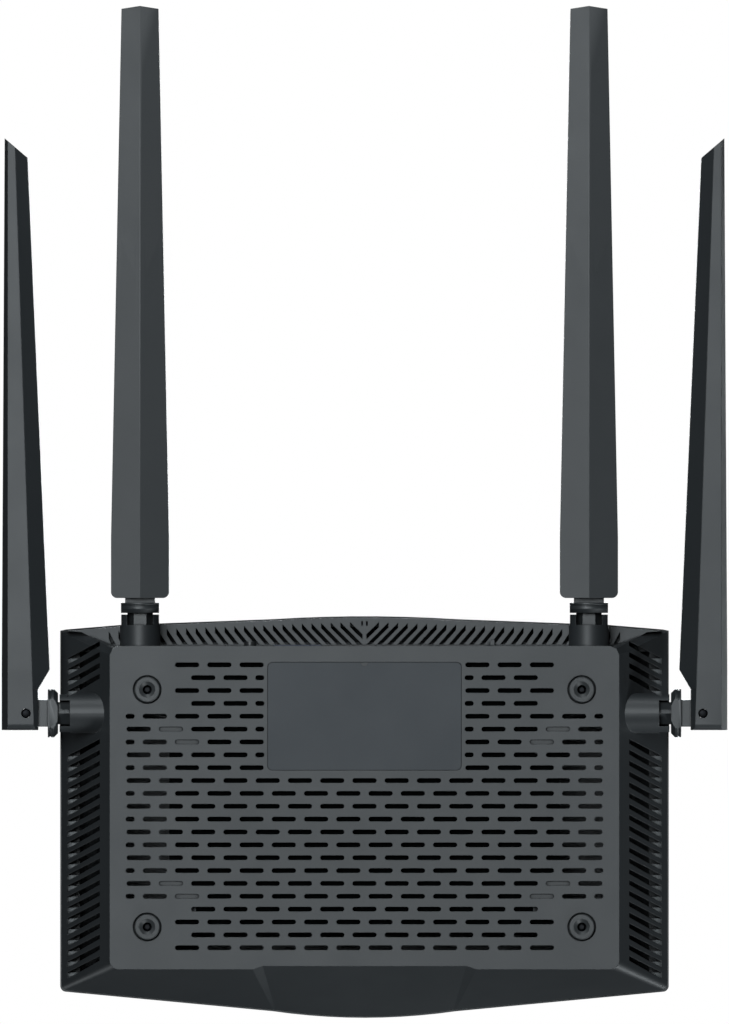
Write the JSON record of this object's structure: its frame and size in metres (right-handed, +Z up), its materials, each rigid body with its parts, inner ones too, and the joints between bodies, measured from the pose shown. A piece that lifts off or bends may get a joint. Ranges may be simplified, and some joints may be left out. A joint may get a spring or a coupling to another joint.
{
  "type": "wireless router",
  "caption": "Low wireless router with a vented, peaked casing, recessed rear ports and hinged ridged antennas that swivel and fold at the rear corners and on both sides.",
  "frame": {"origin": "centre of the base, on the plane that the four feet stand on", "axes": "+Z up, +Y towards the rear ports and antennas, +X to the right seen from the front"},
  "size_m": [0.238, 0.3321, 0.04],
  "materials": {
    "casing_plastic": "fine-textured moulded dark grey plastic",
    "cover_plastic": "fine-textured moulded near-black plastic",
    "antenna_plastic": "satin moulded dark grey plastic",
    "knuckle_plastic": "satin moulded dark grey nylon",
    "label_film": "blank satin label film",
    "foot_rubber": "dense grey rubber",
    "steel": "zinc-plated steel",
    "tinned_steel": "pressed tin-plated steel",
    "brass_contact": "gold-flashed spring contacts",
    "board_laminate": "green solder-masked glass laminate",
    "antenna_laminate": "copper-faced laminate strip",
    "chip_epoxy": "black moulding compound",
    "port_blue": "blue moulded port housing",
    "port_black": "black moulded port housing",
    "heat_sink_metal": "black-free anodised extruded fins",
    "pad_silicone": "soft heat-conducting silicone",
    "button_plastic": "smooth black moulded button",
    "lamp_body": "clear-topped surface lamps",
    "pipe_acrylic": "clear acrylic",
    "capacitor_can": "aluminium cans",
    "lead_jacket": "black coaxial jacket",
    "transformer_case": "black epoxy module",
    "inductor_ferrite": "dark grey ferrite"
  },
  "bodies": {
    "base": {"bottom_shell": "casing_plastic", "top_cover": "cover_plastic", "rating_label": "label_film", "feet": "foot_rubber", "case_screws": "steel", "main_board": "board_laminate", "board_screws": "steel", "processor": "chip_epoxy", "memory_chips": "chip_epoxy", "radio_chips": "chip_epoxy", "line_transformers": "transformer_case", "clock_crystal": "tinned_steel", "power_inductors": "inductor_ferrite", "tact_switch": "button_plastic", "thermal_pad": "pad_silicone", "heat_sink": "heat_sink_metal", "shield_cans": "tinned_steel", "capacitors": "capacitor_can", "wan_port": "port_blue", "lan_port_1": "port_black", "lan_port_2": "port_black", "lan_port_3": "port_black", "port_contacts": "brass_contact", "power_inlet": "port_black", "power_inlet_pin": "brass_contact", "status_lamps": "lamp_body", "light_pipe": "pipe_acrylic", "coax_leads": "lead_jacket"},
    "rear_left_swivel": {"rear_left_knuckle": "knuckle_plastic", "rear_left_clip": "steel"},
    "rear_left_antenna": {"rear_left_blade": "antenna_plastic", "rear_left_blade_cover": "antenna_plastic", "rear_left_hinge_pin": "steel", "rear_left_radiator": "antenna_laminate", "rear_left_lead": "lead_jacket"},
    "side_left_swivel": {"side_left_knuckle": "knuckle_plastic", "side_left_clip": "steel"},
    "side_left_antenna": {"side_left_blade": "antenna_plastic", "side_left_blade_cover": "antenna_plastic", "side_left_hinge_pin": "steel", "side_left_radiator": "antenna_laminate", "side_left_lead": "lead_jacket"},
    "rear_right_swivel": {"rear_right_knuckle": "knuckle_plastic", "rear_right_clip": "steel"},
    "rear_right_antenna": {"rear_right_blade": "antenna_plastic", "rear_right_blade_cover": "antenna_plastic", "rear_right_hinge_pin": "steel", "rear_right_radiator": "antenna_laminate", "rear_right_lead": "lead_jacket"},
    "side_right_swivel": {"side_right_knuckle": "knuckle_plastic", "side_right_clip": "steel"},
    "side_right_antenna": {"side_right_blade": "antenna_plastic", "side_right_blade_cover": "antenna_plastic", "side_right_hinge_pin": "steel", "side_right_radiator": "antenna_laminate", "side_right_lead": "lead_jacket"},
    "button": {"pair_button": "button_plastic"}
  },
  "joints": [
    {"name": "rear_left_turn", "type": "hinge", "parent": "base", "child": "rear_left_swivel", "pos_m": [-0.0736, 0.0745, 0.01073], "axis": [0, -1, 0], "range_deg": [-90, 90]},
    {"name": "rear_left_fold", "type": "hinge", "parent": "rear_left_swivel", "child": "rear_left_antenna", "pos_m": [-0.0736, 0.0745, 0.01073], "axis": [1, 0, 0], "range_deg": [0, 90]},
    {"name": "side_left_turn", "type": "hinge", "parent": "base", "child": "side_left_swivel", "pos_m": [-0.11095, 0.0312, 0.01073], "axis": [1, 0, 0], "range_deg": [0, 180]},
    {"name": "side_left_fold", "type": "hinge", "parent": "side_left_swivel", "child": "side_left_antenna", "pos_m": [-0.11095, 0.0312, 0.01073], "axis": [0, 0, 1], "range_deg": [0, 90]},
    {"name": "rear_right_turn", "type": "hinge", "parent": "base", "child": "rear_right_swivel", "pos_m": [0.0736, 0.0745, 0.01073], "axis": [0, 1, 0], "range_deg": [-90, 90]},
    {"name": "rear_right_fold", "type": "hinge", "parent": "rear_right_swivel", "child": "rear_right_antenna", "pos_m": [0.0736, 0.0745, 0.01073], "axis": [1, 0, 0], "range_deg": [0, 90]},
    {"name": "side_right_turn", "type": "hinge", "parent": "base", "child": "side_right_swivel", "pos_m": [0.11095, 0.0312, 0.01073], "axis": [1, 0, 0], "range_deg": [0, 180]},
    {"name": "side_right_fold", "type": "hinge", "parent": "side_right_swivel", "child": "side_right_antenna", "pos_m": [0.11095, 0.0312, 0.01073], "axis": [0, 0, -1], "range_deg": [0, 90]},
    {"name": "pair_press", "type": "slide", "parent": "base", "child": "button", "axis": [0, -1, 0], "range_m": [0, 0.0006], "stiffness_N_per_m": 300, "springref_m": -0.004}
  ]
}
